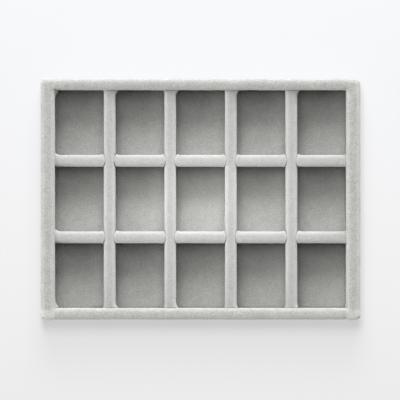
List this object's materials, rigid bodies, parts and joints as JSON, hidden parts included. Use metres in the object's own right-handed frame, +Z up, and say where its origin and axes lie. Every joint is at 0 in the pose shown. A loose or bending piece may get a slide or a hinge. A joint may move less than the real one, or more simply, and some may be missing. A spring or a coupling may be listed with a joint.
{
  "type": "ring tray",
  "caption": "Shallow velour-covered jewellery tray with padded walls and lapped dividers that form open cells for rings.",
  "frame": {"origin": "on the underside, at the middle of the tray", "axes": "+X along the long side, +Y to the back, across the short side, and +Z up"},
  "size_m": [0.155, 0.1168, 0.025],
  "materials": {
    "velour": "short light grey velour pile, matt",
    "greyboard": "bare greyboard, matt",
    "underside_paper": "plain grey lining paper, matt"
  },
  "bodies": {
    "root": {"base_board": "greyboard", "floor_lining": "velour", "underside_lining": "underside_paper", "wall_cover_left": "velour", "wall_board_left": "greyboard", "wall_cover_right": "velour", "wall_board_right": "greyboard", "wall_cover_front": "velour", "wall_board_front": "greyboard", "wall_cover_back": "velour", "wall_board_back": "greyboard", "long_divider_cover_1": "velour", "long_divider_board_1": "greyboard", "long_divider_cover_2": "velour", "long_divider_board_2": "greyboard", "long_divider_cover_3": "velour", "long_divider_board_3": "greyboard", "long_divider_cover_4": "velour", "long_divider_board_4": "greyboard", "cross_divider_cover_1": "velour", "cross_divider_board_1": "greyboard", "cross_divider_cover_2": "velour", "cross_divider_board_2": "greyboard"}
  },
  "joints": []
}
